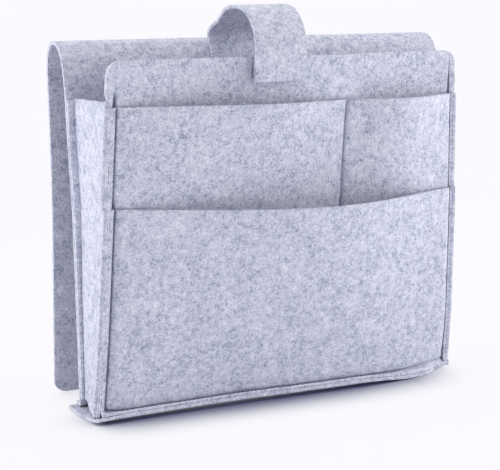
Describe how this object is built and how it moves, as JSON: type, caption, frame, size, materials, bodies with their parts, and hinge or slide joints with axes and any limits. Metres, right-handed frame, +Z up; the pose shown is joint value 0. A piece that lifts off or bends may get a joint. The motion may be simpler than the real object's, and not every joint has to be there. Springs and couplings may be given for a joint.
{
  "type": "bedside caddy",
  "caption": "Felt bedside organiser: a gusseted bag with front pockets, a closure strap and a long rear flap that goes under a mattress.",
  "frame": {"origin": "middle of the overall footprint, on the surface that the base stands on", "axes": "+X to the right as seen from the front, +Y to the back towards the flap, +Z up"},
  "size_m": [0.316, 0.121, 0.2928],
  "materials": {
    "felt": "heathered pale blue-grey needle felt, matt, with darker and lighter fibres",
    "thread": "grey polyester sewing thread",
    "loop_tape": "fuzzy loop tape",
    "hook_tape": "bristly hook tape"
  },
  "bodies": {
    "root": {"bottom_panel": "felt", "back_panel": "felt", "top_fold": "felt", "left_gusset": "felt", "right_gusset": "felt", "middle_panel": "felt", "upper_pocket": "felt", "lower_pocket": "felt", "strap_root": "felt", "loop_patch": "loop_tape", "front_left_seam": "thread", "front_right_seam": "thread", "rear_left_seam": "thread", "rear_right_seam": "thread", "bottom_front_seam": "thread", "bottom_rear_seam": "thread", "divider_seam": "thread", "strap_lower_seam": "thread", "strap_upper_seam": "thread"},
    "flap": {"mounting_flap": "felt"},
    "strap": {"closure_strap": "felt", "hook_patch": "hook_tape"}
  },
  "joints": [
    {"name": "flap_hinge", "type": "hinge", "parent": "root", "child": "flap", "pos_m": [0, 0.05673, 0.26325], "axis": [1, 0, 0], "range_deg": [0, 90], "deforming": ["top_fold"]},
    {"name": "strap_hinge", "type": "hinge", "parent": "root", "child": "strap", "pos_m": [-0.0205, 0.03188, 0.2705], "axis": [-1, 0, 0], "range_deg": [0, 90]}
  ]
}
